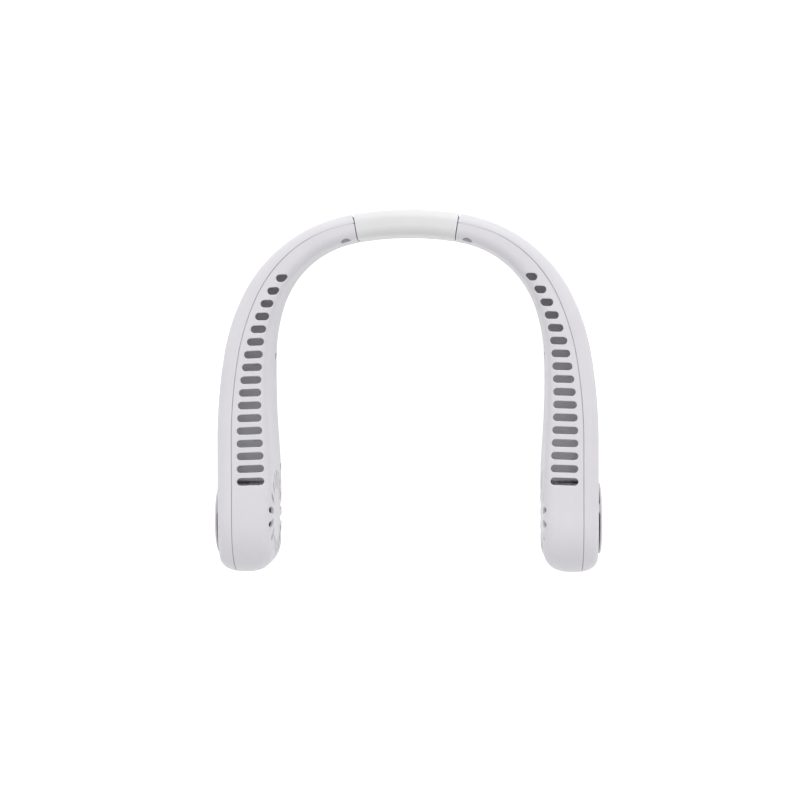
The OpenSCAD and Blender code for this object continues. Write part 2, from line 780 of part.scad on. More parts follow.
// Battery: a cell that lies along the straight of the arm, and a tab at each end
module battery_cell() {
    color("steelblue") translate([side_x - cell_in, axis_y + cell_back, cell_z])
        rotate([-90, 0, 0]) cylinder(r = cell_r, h = cell_l);
}
tab_t = 0.3;
tab_w = 6;
module battery_tabs() {
    color("silver") translate([side_x - cell_in - tab_w / 2, axis_y + cell_back, cell_z - tab_w / 2]) {
        translate([0, -tab_t - fit / 2, 0]) cube([tab_w, tab_t, cell_r + tab_w / 2]);
        translate([0, cell_l + fit / 2, 0]) cube([tab_w, tab_t, cell_r + tab_w / 2]);
    }
}
module shell_screw_set() {
    color("silver") for (q = shell_screws)
        going_in(q[0], q[1]) {
            top = width(q[0]) - plug_t - sink_t;
            translate([0, 0, top]) cylinder(r = shell_head_r, h = shell_head_t);
            translate([0, 0, wall + play]) cylinder(r = shell_screw_r, h = top - wall);
        }
}
module bracket_screw() {
    top = band_corner - plug_t - sink_t;
    tip = (screw_tip_in + band_corner - width(bracket_screw_s)) / cos(bracket_screw_lean);
    color("silver") corner_in() {
        translate([0, 0, top]) cylinder(r = shell_head_r, h = shell_head_t);
        translate([0, 0, tip]) cylinder(r = shell_screw_r, h = top - tip + fit);
    }
}
module screw_plugs() {
    color("darkgray") {
        corner_in() intersection() {
            translate([0, 0, band_corner - plug_t]) cylinder(r = bracket_plug_r - fit, h = 2 * plug_t);
            rotate([0, 90, 0]) cylinder(r = band_corner - fit / 2, h = arm_w, center = true);
        }
        for (q = shell_screws)
            going_in(q[0], q[1])
                translate([0, 0, width(q[0]) - plug_t]) cylinder(r = plug_r - fit, h = plug_t);
    }
}

// Hinge bracket of the arm, with the middle knuckle. The band's core carries the outer two.
space_steps = 14;
module hinge_space(z0, h) {
    r = knuckle_r + play;
    step = 180 / space_steps;
    arc = [for (k = [0:space_steps]) r * [-cos(step * k), -sin(step * k)]];
    translate([hinge_p[0], hinge_p[1], z0])
        rotate([0, 0, -heading(seam_s)])
            linear_extrude(h)
                polygon(concat(arc, [[r, pin_in], [-r, pin_in]]));
}
module pin_hole() {
    translate([hinge_p[0], hinge_p[1], 0]) cylinder(r = pin_r + run_clear, h = fan_h);
}
knuckle_z = [for (k = [0:3]) bracket_z0 + knuckle_end + k * knuckle_h];
washer_t = 0.5;
module hinge_bracket() {
    cut_h = knuckle_end + knuckle_h + over + washer_t + fit;
    color("lightgray") difference() {
        union() {
            difference() {
                bracket_body();
                relief_wedge();
                hinge_space(bracket_z0 - over, cut_h);
                hinge_space(bracket_z1 + over - cut_h, cut_h);
            }
            translate([hinge_p[0], hinge_p[1], knuckle_z[1] + washer_t + 2 * fit])
                cylinder(r = knuckle_r, h = knuckle_h - 2 * washer_t - 4 * fit);
        }
        pin_hole();
        corner_in() {
            translate([0, 0, -band_w]) cylinder(r = shell_screw_r + fit / 2, h = 2 * band_w);
            translate([0, 0, bracket_seat - fit])
                cylinder(r = bracket_plug_r + sink_wall + play, h = band_w);
        }
        at(seam_s) translate([-over, -cable_in, cable_z])
            rotate([0, 90, 0]) cylinder(r = cable_r + 2 * play, h = bracket_l + 3 * over);
    }
}
core_from = sleeve_wall + play;
cable_r = 1.1;
cable_in = 9.3;
cable_share = 0.2;
cable_z = bracket_z0 + bracket_h * cable_share;
band_edge_turn = band_turn - seam_gap / 2 / band_r * 180 / PI;
// The band's section, drawn in by inset, and its sweep by a turn each way from the middle
module band_outline(inset) {
    translate([band_r - band_w + inset, fan_h - band_h + inset])
        round_outline(band_w - 2 * inset, band_h - 2 * inset, band_corner - inset);
}
module band_sweep(turn) {
    translate([0, top_y - band_r, 0])
        rotate([0, 0, 90 - turn]) rotate_extrude(angle = 2 * turn, $fn = ring_sides) children();
}
module core_hinge() {
    for (z = [knuckle_z[0], knuckle_z[2]])
        translate([hinge_p[0], hinge_p[1], z]) cylinder(r = knuckle_r, h = knuckle_h);
}
module core_hinge_cuts() {
    hinge_space(knuckle_z[1], knuckle_h);
    pin_hole();
}
core_web_l = 9;
core_web_turn = core_web_l / band_r * 180 / PI;
module band_core() {
    color("silver") difference() {
        union() {
            band_sweep(band_edge_turn) band_outline(core_from);
            core_hinge();
            left() core_hinge();
        }
        core_hinge_cuts();
        left() core_hinge_cuts();
        // Hollow between the two hinge ends, and the way through for the cable
        band_sweep(band_turn - core_web_turn) band_outline(core_from + wall);
        cable_way(cable_r + fit, 0);
    }
}
module cable_way(r, short) {
    band_sweep(band_turn - short / band_r * 180 / PI)
        translate([band_r - cable_in, cable_z]) circle(r = r, $fn = cable_sides);
}
module band_cable() {
    color("dimgray") cable_way(cable_r, seam_gap);
}
module band_sleeve() {
    color("white") band_sweep(band_edge_turn)
        difference() {
            band_outline(0);
            band_outline(sleeve_wall);
        }
}
module hinge_pin() {
    color("silver") translate([hinge_p[0], hinge_p[1], knuckle_z[0] + fit])
        cylinder(r = pin_r, h = 3 * knuckle_h - 2 * fit);
}
module washer_pair() {
    for (z = [knuckle_z[1], knuckle_z[2] - washer_t])
        translate([hinge_p[0], hinge_p[1], z]) tube(pin_r + run_clear, knuckle_r - fit, washer_t);
}
module hinge_washers() {
    color("gold") {
        washer_pair();
        left() washer_pair();
    }
}

// Electrics of the right arm
button_rise = 2.2;
button_z = board_z + board_t + button_rise;
// Lengths back from the turbine's axis
button_back = 36;
light_back = 52;
usb_back = 62;
button_s = axis_s - button_back;
stem_r = 1.2;
flange_over = 0.8;
light_n = 4;
light_r = 0.8;
light_pitch = 2.6;
light_s = axis_s - light_back;
usb_s = axis_s - usb_back;
usb_z = board_z + board_t + usb_h / 2;
board_s1 = post_s[0] + boss_r;
module usb_outline(grow) {
    r = usb_h / 2 + grow;
    translate([-usb_w / 2 + usb_h / 2, 0]) circle(r = r);
    translate([usb_w / 2 - usb_h / 2, 0]) circle(r = r);
    translate([-usb_w / 2 + usb_h / 2, -r]) square([usb_w - usb_h, 2 * r]);
}
board_edge = wall + 2 * flange_over;
board_s0 = board_s1 - board_l;
board_steps = 6;
module control_board() {
    x0 = inside(board_s1, board_edge + board_w)[0];
    color("seagreen") difference() {
        translate([0, 0, board_z]) linear_extrude(board_t)
            polygon(concat(
                [[x0, edge(board_s1)[1]]],
                [
                    for (k = [board_steps:-1:0])
                        inside(mix(board_s0, board_s1, k / board_steps), board_edge)
                ],
                [[x0, edge(board_s0)[1]]]
            ));
        for (s = post_s)
            at(s) translate([0, -post_in, board_z - over])
                cylinder(r = board_screw_r + fit, h = 2 * over + board_t);
    }
}
board_screw_r = 0.9;
board_head_r = 1.6;
module board_screws() {
    color("silver") for (s = post_s)
        at(s) translate([0, -post_in, board_z + board_t]) {
            cylinder(r = board_head_r, h = board_screw_r);
            translate([0, 0, play - board_t - pilot_l])
                cylinder(r = board_screw_r, h = board_t + pilot_l);
        }
}
module usb_port() {
    color("silver") going_in(usb_s, usb_z) translate([0, 0, usb_out]) difference() {
        linear_extrude(usb_d) usb_outline(0);
        translate([0, 0, -over]) linear_extrude(usb_d - usb_sheet + over) usb_outline(-usb_sheet);
    }
    color("dimgray") going_in(usb_s, usb_z)
        translate([-usb_w / 2 + usb_h / 2, -usb_tongue / 2, usb_out + over])
            cube([usb_w - usb_h, usb_tongue, usb_d - over - usb_sheet / 2]);
}
usb_out = 0.6;
usb_sheet = 0.3;
usb_tongue = 0.7;
switch_w = 6;
switch_h = 3.5;
switch_d = 3;
switch_in = 3.6;
module power_switch() {
    color("dimgray") going_in(button_s, board_z + board_t)
        translate([-switch_w / 2, 0, switch_in]) cube([switch_w, switch_h, switch_d]);
}
module power_button() {
    color("gainsboro") going_in(button_s, button_z) {
        cylinder(r = button_r - fit, h = wall + over / 2);
        translate([0, 0, wall + 2 * fit]) cylinder(r = button_r + flange_over, h = flange_over);
        cylinder(r = stem_r, h = switch_in - button_travel - fit);
    }
}
module light_pipes() {
    color("white") for (i = [0:light_n - 1])
        going_in(light_s + i * light_pitch, button_z) cylinder(r = light_r, h = switch_in);
}

band_sleeve();
band_core();
band_cable();
left() hinge_pin();  // left_hinge_pin
hinge_pin();  // right_hinge_pin
hinge_washers();
left() outer_shell();  // left_outer_shell
left() vent_shell();  // left_vent_shell
left() intake_cover();  // left_intake_cover
left() air_guide();  // left_air_guide
left() impeller();  // left_impeller
left() rotor_cup();  // left_rotor_cup
left() rotor_magnet();  // left_rotor_magnet
left() motor_shaft();  // left_motor_shaft
left() stator_core();  // left_stator_core
left() stator_coils();  // left_stator_coils
left() bearing_tube();  // left_bearing_tube
left() bearings();  // left_bearings
left() motor_board();  // left_motor_board
left() motor_screw_set();  // left_motor_screws
left() battery_cell();  // left_battery_cell
left() battery_tabs();  // left_battery_tabs
left() shell_screw_set();  // left_shell_screws
left() hinge_bracket();  // left_hinge_bracket
left() bracket_screw();  // left_bracket_screw
left() screw_plugs();  // left_screw_plugs
right_outer_shell();
vent_shell();  // right_vent_shell
intake_cover();  // right_intake_cover
air_guide();  // right_air_guide
impeller();  // right_impeller
rotor_cup();  // right_rotor_cup
rotor_magnet();  // right_rotor_magnet
motor_shaft();  // right_motor_shaft
stator_core();  // right_stator_core
stator_coils();  // right_stator_coils
bearing_tube();  // right_bearing_tube
bearings();  // right_bearings
motor_board();  // right_motor_board
motor_screw_set();  // right_motor_screws
battery_cell();  // right_battery_cell
battery_tabs();  // right_battery_tabs
shell_screw_set();  // right_shell_screws
hinge_bracket();  // right_hinge_bracket
bracket_screw();  // right_bracket_screw
screw_plugs();  // right_screw_plugs
control_board();
board_screws();
usb_port();
power_switch();
power_button();
light_pipes();
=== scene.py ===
import json
from math import atan2, ceil, cos, degrees, pi, radians, sin, sqrt, tan

import bmesh
import bpy
from mathutils import Matrix, Quaternion, Vector


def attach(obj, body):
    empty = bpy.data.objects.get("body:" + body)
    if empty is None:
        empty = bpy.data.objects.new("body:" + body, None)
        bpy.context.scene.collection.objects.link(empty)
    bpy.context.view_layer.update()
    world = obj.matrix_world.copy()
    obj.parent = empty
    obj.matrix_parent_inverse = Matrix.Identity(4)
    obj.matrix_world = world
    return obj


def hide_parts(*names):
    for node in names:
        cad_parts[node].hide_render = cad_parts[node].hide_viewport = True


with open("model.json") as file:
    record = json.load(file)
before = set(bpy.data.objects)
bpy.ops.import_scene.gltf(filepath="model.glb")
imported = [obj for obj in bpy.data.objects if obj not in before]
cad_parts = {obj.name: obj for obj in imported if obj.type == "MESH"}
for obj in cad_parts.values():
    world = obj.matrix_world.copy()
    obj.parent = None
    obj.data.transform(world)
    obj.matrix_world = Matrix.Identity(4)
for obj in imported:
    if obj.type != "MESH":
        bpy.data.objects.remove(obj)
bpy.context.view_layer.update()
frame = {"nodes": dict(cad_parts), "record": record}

# An electric neck fan: finer shells, covers, plugs, sleeve and button in place of the frame's CAD nodes, and a
# material for every node. The pieces of an arm are built for the right one and mirrored to the left.
# A place in an arm is (s, n, z): s along the outer side from the middle of the band, n behind that side.

MM = 0.001

# ---- sizes in millimetres, the same named values as the part's source has ----

FAN_H, ARM_W, BAND_H, BAND_W = 51, 28.3, 27, 13.2
RADII = (168, 85, 75, 106, 269)
TURNS = (9.3, 12.4, 40.7, 17.8)
TURNS += (90 - sum(TURNS),)
STRAIGHT_L, TIP_L = 40.8, 28.2
WALL, SLEEVE_WALL, PART_IN, PART_IN_BAND, PART_GAP = 1.6, 1.2, 8, 5.2, 0.25
ARM_CORNER, BAND_CORNER, TIP_OUT_R, TIP_IN_R = 6, 5, 9, 13.5
WIDEN_FROM, WIDEN_L, DROP_FROM, DROP_L = 2, 177, 12, 112
PART_FROM, PART_L = 18, 80
VENT_N, VENT_PITCH, VENT_H, VENT_TILT, VENT_FIRST = 17, 6.51, 4.1, 1.9, 20.6
VENT_LAND_OUT, VENT_LAND_TOP, VENT_LAND_IN = 2.8, 2.1, 3.4
INTAKE_N, INTAKE_R1, INTAKE_R2, INTAKE_W = 12, 9.6, 16.6, 2.6
GRILLE_N, GRILLE_R1, GRILLE_R2, GRILLE_W, GRILLE_BACK, GRILLE_DEEP = 18, 13.5, 23.4, 3.2, 2, 4.2
COVER_R, COVER_T, COVER_GAP, COVER_RIB_W = 18.6, 1.4, 0.8, 5.2
COVER_RIBS, COVER_RIB_AT, COVER_RIB_R1 = 3, 111.6, 12
PIN_IN, SEAM_GAP, RELIEF_TURN = 4, 0.4, 8
PLUG_R, PLUG_T, SINK_T, SINK_WALL, SINK_FLOOR = 2.2, 0.9, 1, 0.8, 1.3
BOSS_R, SCREW_R, FIT = 2.4, 1, 0.1
BUTTON_R, BUTTON_Z, BUTTON_BACK = 4, 25.6, 36
LIGHT_N, LIGHT_R, LIGHT_PITCH, LIGHT_BACK = 4, 0.8, 2.6, 52
USB_W, USB_H, USB_Z, USB_BACK = 8.9, 3.2, 25, 62
BRACKET_SCREW_IN, BRACKET_LEAN, BRACKET_PLUG_R, SEAT_DEEP = 7.2, 14, 2.5, 0.3
TIP_SCREW_BACK, TIP_SCREW_Z, CELL_END_BACK, CELL_SCREW_Z = 26, 5.6, 90, 11.2
TIP_POWER, CORNER_SHARE, OVER = 2.2, 0.46, 1

# ---- finer detail that only this script has, in millimetres ----

# A rounded edge: its radius, and how far from the edge its points lie
EDGE_R = 0.28
EDGE_STEPS = (0, 0.03, 0.09, 0.17, EDGE_R)
# How finely surfaces are cut: the length kept for an edge, a ring's length in the bends and down the long
# arc, rings in the tip and how close the last comes to its end, and pieces in corners, flats and the sleeve
EDGE_L, BEND_STEP, LONG_STEP, TIP_RINGS, TIP_END = 1, 1.25, 2, 34, 0.99995
CORNER_STEPS, FLAT_STEPS, SLEEVE_STEPS = 9, 3, 48
# Faces that meet at a sharper angle than this, in degrees, show an edge
SHARP_ANGLE = 35
# Points closer than this to a cut lie on it
NEAR = 1e-4
# Rounded rims of the openings; a rim starts at RIM_START degrees, where it is nearly level
RIM_START = 15
VENT_RIM, INTAKE_RIM, SINK_RIM, BRACKET_SINK_RIM = 0.4, 0.35, 0.12, 0.2
BUTTON_RIM, LIGHT_RIM, USB_RIM, USB_FIT = 0.25, 0.1, 0.3, 0.3
# What the vent slots' rims take from their height, their corner radii as a share of the height, and how
# much smaller the last corner gets where the arm leans
VENT_TRIM, VENT_ROUND, VENT_ROUND_LEAN = 0.3, 0.49, 0.7
# How far the slots' inner ends move inwards, from which slot on, and over how many
VENT_SHIFT, VENT_SHIFT_FROM, VENT_SHIFT_OVER = 0.4, 7, 4
# The outer shell's lip under the parting line: its depth at the band and down the arm, where that changes
# and over what length, its width inside the shell, its room to the other shell, and what its ends leave free
LIP_DEEP, LIP_FROM, LIP_L = (0.08, 1), 4, 54
LIP_IN, LIP_CLEAR, LIP_START, LIP_SHORT = 1, 0.01, 0.6, 0.3
# The intake cover: how far its face falls to the rim, the rim's round and how far that sits back, and the
# ribs' cut corners and hold in the cover
COVER_FALL, COVER_RIM, COVER_RIM_BACK, COVER_RIB_CUT, COVER_RIB_IN = 0.35, 0.48 * COVER_T, 0.12, 0.6, 0.5
# The plugs: how far each lies below the surface, its rounded edge and its hollow top
PLUG_SUNK, BRACKET_PLUG_SUNK, PLUG_EDGE, BRACKET_PLUG_EDGE, PLUG_HOLLOW = 0.04, 0.12, 0.2, 0.15, 0.1
BRACKET_PLUG_IN = 0.08
# The button's flange, which keeps it in the shell, and its stem to the switch
FLANGE_MORE, FLANGE_DEEP, STEM_R, STEM_END = 0.9, 0.2, 1.2, 3.1
# The arm's end face leans back at the hinge over this length
RELIEF_FADE = 6


# ---- the plan curve ----

def side(a):
    """Direction outwards from the arm, where it heads at a degrees."""
    return Vector((sin(radians(a)), cos(radians(a))))


def ahead(a):
    """Direction along the arm towards its tip, where it heads at a degrees."""
    return Vector((cos(radians(a)), -sin(radians(a))))


HEADS, STARTS, CENTRES = [0], [0], [Vector((0, -RADII[0]))]
for i in range(1, len(RADII)):
    HEADS.append(HEADS[-1] + TURNS[i - 1])
    STARTS.append(STARTS[-1] + radians(TURNS[i - 1]) * RADII[i - 1])
    CENTRES.append(CENTRES[-1] + (RADII[i - 1] - RADII[i]) * side(HEADS[-1]))
CURVE_L = STARTS[-1] + radians(TURNS[-1]) * RADII[-1]
CURVE_END = CENTRES[-1] + Vector((RADII[-1], 0))
TOP_Y = (STRAIGHT_L + TIP_L - CURVE_END.y) / 2
SEAM_S, AXIS_S = STARTS[1], CURVE_L + STRAIGHT_L
AXIS_Y, AXIS_Z = TOP_Y + CURVE_END.y - STRAIGHT_L, FAN_H / 2
ARM_START = SEAM_S + SEAM_GAP / 2
BAND_TURN_END = TURNS[0] - degrees(SEAM_GAP / 2 / RADII[0])
SHELL_SCREWS = ((AXIS_S - TIP_SCREW_BACK, TIP_SCREW_Z), (AXIS_S - CELL_END_BACK, CELL_SCREW_Z))
BRACKET_SCREW_S = SEAM_S + BRACKET_SCREW_IN


def arc_of(s):
    """Index of the arc that holds s."""
    return max((i for i in range(len(RADII)) if s >= STARTS[i]), default=0)


def heading(s):
    """Heading at s in degrees: 0 across the band, 90 down the arm."""
    if s >= CURVE_L:
        return 90
    i = arc_of(s)
    return HEADS[i] + degrees((s - STARTS[i]) / RADII[i])


def edge(s):
    """The point of the outer side at s."""
    if s >= CURVE_L:
        return Vector((CURVE_END.x, TOP_Y + CURVE_END.y - (s - CURVE_L)))
    i = arc_of(s)
    return Vector((0, TOP_Y)) + CENTRES[i] + RADII[i] * side(heading(s))


def inside(s, n):
    """The point at s that lies n behind the outer side."""
    return edge(s) - n * side(heading(s))


def ease(x):
    """From 0 to 1, slow at both ends."""
    t = max(0, min(1, x))
    return t * t * (3 - 2 * t)


def mix(a, b, t):
    """The value at t of the way from a to b."""
    return a + (b - a) * t


def widen(s):
    """How far the section has grown from the band's to the arm's, from 0 to 1."""
    return ease((s - SEAM_S - WIDEN_FROM) / WIDEN_L)


def width(s):
    """How far the inner side lies behind the outer one."""
    return mix(BAND_W, ARM_W, widen(s))


def floor_z(s):
    """Height of the arm's underside."""
    return (FAN_H - BAND_H) * (1 - ease((s - SEAM_S - DROP_FROM) / DROP_L))


def parting(s):
    """How far the parting line lies behind the outer side."""
    return mix(PART_IN_BAND, PART_IN, ease((s - SEAM_S - PART_FROM) / PART_L))


def corner(s):
    """Radius of the section's corners."""
    return mix(BAND_CORNER, ARM_CORNER, widen(s))


def plan_round(d, reach, r):
    """How far the tip's rounding r draws the side in, at d of the tip's reach."""
    e = d - (reach - r)
    return 0 if e <= 0 else r * (1 - sqrt(max(0, 1 - (e / r) ** 2)))


def extent(s, inset=0):
    """The section's box at s, drawn in by inset: n0, n1, z0, z1 and its corner radius."""
    d, reach = max(0, s - AXIS_S), TIP_L - inset
    h = max(0, 1 - (d / reach) ** TIP_POWER) ** (1 / TIP_POWER)
    n0 = inset + plan_round(d, reach, TIP_OUT_R - inset)
    n1 = width(s) - inset - plan_round(d, reach, TIP_IN_R - inset)
    z0 = AXIS_Z - (AXIS_Z - inset) * h if d else floor_z(s) + inset
    z1 = AXIS_Z + (AXIS_Z - inset) * h if d else FAN_H - inset
    return n0, n1, z0, z1, min(corner(s) - inset, (z1 - z0) * CORNER_SHARE, (n1 - n0) * CORNER_SHARE)


def corner_fall(x, low, high, r):
    """How far a side with corners of radius r at low and high has fallen off at x."""
    e = min(r, max(0, x - (high - r), (low + r) - x))
    return r - sqrt(r * r - e * e)


def plan_place(p):
    """(s, n) of a point of the plan, found in steps that close in on it."""
    s = AXIS_S - (p.y - AXIS_Y)
    for _ in range(12):
        s += 0.8 * (p - edge(s)).dot(ahead(heading(s)))
    return s, -(p - edge(s)).dot(side(heading(s)))


def top_z(p):
    """Height of the arm's surface above a point of the plan."""
    s, n = plan_place(p)
    n0, n1, _, z1, r = extent(s)
    return z1 - corner_fall(n, n0, n1, r)


# ---- mesh helpers ----

def smooth(mesh):
    """Smooth shading, but for the sharp edges."""
    mesh.shade_smooth()
    mesh.set_sharp_from_angle(angle=radians(SHARP_ANGLE))


def new_object(name, bm):
    """An object of the scene from a mesh in work."""
    mesh = bpy.data.meshes.new(name)
    bm.normal_update()
    bm.to_mesh(mesh)
    bm.free()
    obj = bpy.data.objects.new(name, mesh)
    bpy.context.scene.collection.objects.link(obj)
    smooth(mesh)
    return obj


def applied(obj):
    """The object with its modifiers applied."""
    bpy.context.view_layer.update()
    mesh = bpy.data.meshes.new_from_object(obj.evaluated_get(bpy.context.evaluated_depsgraph_get()))
    obj.modifiers.clear()
    old, obj.data = obj.data, mesh
    bpy.data.meshes.remove(old)
    mesh.name = obj.name
    smooth(mesh)
    return obj


def boolean(obj, cutter, operation):
    """The object with the cutter joined to it or cut from it. The cutter goes."""
    mod = obj.modifiers.new(operation, "BOOLEAN")
    mod.object, mod.operation, mod.solver = cutter, operation, "MANIFOLD"
    applied(obj)
    bpy.data.objects.remove(cutter)
    return obj


def bridge(bm, rows):
    """Faces between neighbouring rows of vertices, each row a closed loop."""
    for a, b in zip(rows, rows[1:]):
        for j in range(len(a)):
            k = (j + 1) % len(a)
            bm.faces.new((a[j], a[k], b[k], b[j]))


def loft(bm, loops):
    """A closed solid through loops of equal length, with flat ends."""
    rows = [[bm.verts.new(Vector(p) * MM) for p in loop] for loop in loops]
    bridge(bm, rows)
    bm.faces.new(list(reversed(rows[0])))
    bm.faces.new(rows[-1])


def fixed(bm):
    """Turns the faces of a closed surface outwards."""
    bm.normal_update()
    bmesh.ops.recalc_face_normals(bm, faces=bm.faces)
    if bm.calc_volume(signed=True) < 0:
        bmesh.ops.reverse_faces(bm, faces=bm.faces)
    bm.normal_update()
    return bm


def outwards(bm):
    """Turns the faces of an open surface outwards: its highest face looks up."""
    bm.normal_update()
    if max(bm.faces, key=lambda f: f.calc_center_median().z).normal.z < 0:
        bmesh.ops.reverse_faces(bm, faces=bm.faces)
        bm.normal_update()
    return bm


def stadium(half_l, r, steps):
    """Outline of a slot, its long side along x."""
    out = []
    for end in (1, -1):
        for j in range(steps + 1):
            a = radians(-90 + 180 * j / steps) + (0 if end > 0 else pi)
            out.append(Vector((end * half_l + r * cos(a), r * sin(a))))
    return out


def rim(r, steps=4):
    """(offset, depth) points of an opening's rim: outside, over the round and onto the straight wall."""
    turns = [radians(mix(RIM_START, 90, k / steps)) for k in range(steps + 1)]
    points = [(r - r * sin(a), r - r * cos(a)) for a in turns]
    return [(points[0][0], -OVER)] + points


def in_arm(s, z):
    """A local frame at s and z: a function that places (along the arm, up, depth from the outer side)."""
    p, a = edge(s), heading(s)

    def place(along, up, depth):
        q = p + along * ahead(a) - depth * side(a)
        return Vector((q.x, q.y, z + up))
    return place


# ---- the arms' shells ----

def edge_dip(e):
    """How far a surface sinks at a distance e from a rounded edge."""
    e = min(e, EDGE_R)
    return EDGE_R - sqrt(max(0, EDGE_R ** 2 - (EDGE_R - e) ** 2))


def ring_places(inset=0):
    """Where the arm's rings lie, from its start at the band to the end of its tip."""
    reach = TIP_L - inset
    out = [ARM_START - 2 * OVER] if inset else [ARM_START + e for e in EDGE_STEPS]
    for a, b, step in ((ARM_START + EDGE_L, STARTS[-1], BEND_STEP), (STARTS[-1], CURVE_L, LONG_STEP),
                       (CURVE_L, AXIS_S, LONG_STEP)):
        k = ceil((b - a) / step)
        out += [a + (b - a) * j / k for j in range(k)]
    out += [AXIS_S + reach * sin(radians(90 * j / TIP_RINGS)) for j in range(TIP_RINGS)]
    return out + [AXIS_S + reach * TIP_END]


def section(n0, n1, z0, z1, r, flat=1):
    """Outline of a box with rounded corners, its flats in a number of equal lengths."""
    arcs = []
    for q, (n, z) in enumerate(((n1 - r, z1 - r), (n0 + r, z1 - r), (n0 + r, z0 + r), (n1 - r, z0 + r))):
        turns = [radians(90 * (q + j / CORNER_STEPS)) for j in range(CORNER_STEPS + 1)]
        arcs.append([(n + r * cos(a), z + r * sin(a)) for a in turns])
    out = []
    for arc, after in zip(arcs, arcs[1:] + arcs[:1]):
        (n, z), (to_n, to_z) = arc[-1], after[0]
        out += arc + [(mix(n, to_n, j / flat), mix(z, to_z, j / flat)) for j in range(1, flat)]
    return out


def arm_grid(inset=0):
    """The arm's outside or cavity before it is bent: x is the length, y the depth past the parting line."""
    bm = bmesh.new()
    rows = [[bm.verts.new((s, n - parting(s), z)) for n, z in section(*extent(s, inset), FLAT_STEPS)]
            for s in ring_places(inset)]
    bridge(bm, rows)
    bm.faces.new(rows[0])
    bm.faces.new(rows[-1])
    return fixed(bm)


def arm_cavity():
    """The space that the arm's walls enclose."""
    bm = arm_grid(WALL)
    for v in bm.verts:
        p = inside(v.co.x, v.co.y + parting(v.co.x))
        v.co = Vector((p.x, p.y, v.co.z)) * MM
    return new_object("cavity", fixed(bm))


def cut_at_parting(bm, way):
    """Keeps what lies on one side of the parting line, with rows of points for the rounded edge."""
    for e in reversed(EDGE_STEPS):
        y = way * (PART_GAP / 2 + e)
        bmesh.ops.bisect_plane(
            bm, geom=list(bm.verts) + list(bm.edges) + list(bm.faces), dist=1e-5,
            plane_co=(0, y, 0), plane_no=(0, way, 0), clear_inner=e == 0)


def close_cut(bm):
    """Closes the cut.

    Its open loop runs out along one side and back along the other, so both ends walk in together."""
    edges = {e for e in bm.edges if e.is_boundary}
    loop = [min((v for v in bm.verts if v.is_boundary), key=lambda v: (round(v.co.x, 4), v.co.z))]
    while edges:
        steps = [e for e in loop[-1].link_edges if e in edges]
        step = max(steps, key=lambda e: e.other_vert(loop[-1]).co.x)
        edges.discard(step)
        if step.other_vert(loop[-1]) is loop[0]:
            break
        loop.append(step.other_vert(loop[-1]))
    i, j = 0, len(loop) - 1
    while j - i > 1:
        lower = loop[i + 1].co.x <= loop[j - 1].co.x
        bm.faces.new((loop[i], loop[j], loop[i + 1] if lower else loop[j - 1]))
        i, j = (i + 1, j) if lower else (i, j - 1)


def arm_shell(name, outer):
    """One shell of the right arm: the outside cut at the parting line, its edges rounded, less the cavity."""
    bm = arm_grid()
    cut_at_parting(bm, -1 if outer else 1)
    close_cut(bm)
    from_cut, from_end = {}, {}
    for v in bm.verts:
        s, n, z = v.co.x, v.co.y + parting(v.co.x), v.co.z
        from_cut[v] = abs(v.co.y) - PART_GAP / 2
        from_end[v] = s - ARM_START
        s += max(0, PIN_IN - n) * tan(radians(RELIEF_TURN)) * max(0, 1 - from_end[v] / RELIEF_FADE)
        p = inside(s, n)
        v.co = Vector((p.x, p.y, z)) * MM
    flat = {f for f in bm.faces
            if any(all(far[v] < NEAR for v in f.verts) for far in (from_cut, from_end))}
    fixed(bm)
    # The edges sink along the normals of the outside alone, without those of the two flat cuts.
    out = {v: sum((f.normal * f.calc_area() for f in v.link_faces if f not in flat), Vector())
           for v in bm.verts}
    for v in bm.verts:
        dip = max(edge_dip(from_cut[v]), edge_dip(from_end[v]))
        if dip and out[v].length:
            v.co -= out[v].normalized() * dip * MM
    return boolean(new_object(name, bm), arm_cavity(), "DIFFERENCE")


def parting_lip():
    """The outer shell's lip, which closes the parting line from below."""
    bm = bmesh.new()
    loops = []
    last = AXIS_S + TIP_L - LIP_DEEP[1] - LIP_SHORT
    between = [s for s in ring_places() if ARM_START + EDGE_L <= s < last]
    for s in [ARM_START + LIP_START] + between + [last]:
        deep = mix(*LIP_DEEP, ease((s - SEAM_S - LIP_FROM) / LIP_L))
        n0, n1, z0, z1, r = extent(s, deep)
        ends = []
        for n in (parting(s) - LIP_IN, parting(s) + PART_GAP / 2 - LIP_CLEAR):
            ends.append((inside(s, n), corner_fall(n, n0, n1, r)))
        (a, fall_a), (b, fall_b) = ends
        loops.append([(*a, z0 + fall_a), (*b, z0 + fall_b), (*b, z1 - fall_b), (*a, z1 - fall_a)])
    loft(bm, loops)
    return boolean(new_object("parting_lip", fixed(bm)), arm_cavity(), "DIFFERENCE")


def rounded(corners, radii, grow, steps=7):
    """The outline of a polygon, counterclockwise, with its corners rounded and grown outwards by grow."""
    out = []
    for k, p in enumerate(corners):
        a = (corners[k - 1] - p).normalized()
        b = (corners[(k + 1) % len(corners)] - p).normalized()
        centre = p + (a + b).normalized() * radii[k] / sin(a.angle(b) / 2)
        start = atan2(a.x, -a.y)
        turn = (atan2(-b.x, b.y) - start) % (2 * pi)
        for j in range(steps + 1):
            w = start + turn * j / steps
            out.append(centre + (radii[k] + grow) * Vector((cos(w), sin(w))))
    return out


def crossing(y, depth):
    """Where the line that lies depth(s) behind the outer side crosses y, and the arm's direction there."""
    low, high = SEAM_S, AXIS_S
    for _ in range(30):
        middle = (low + high) / 2
        low, high = (middle, high) if inside(middle, depth(middle)).y > y else (low, middle)
    return inside(low, depth(low)), ahead(heading(low))


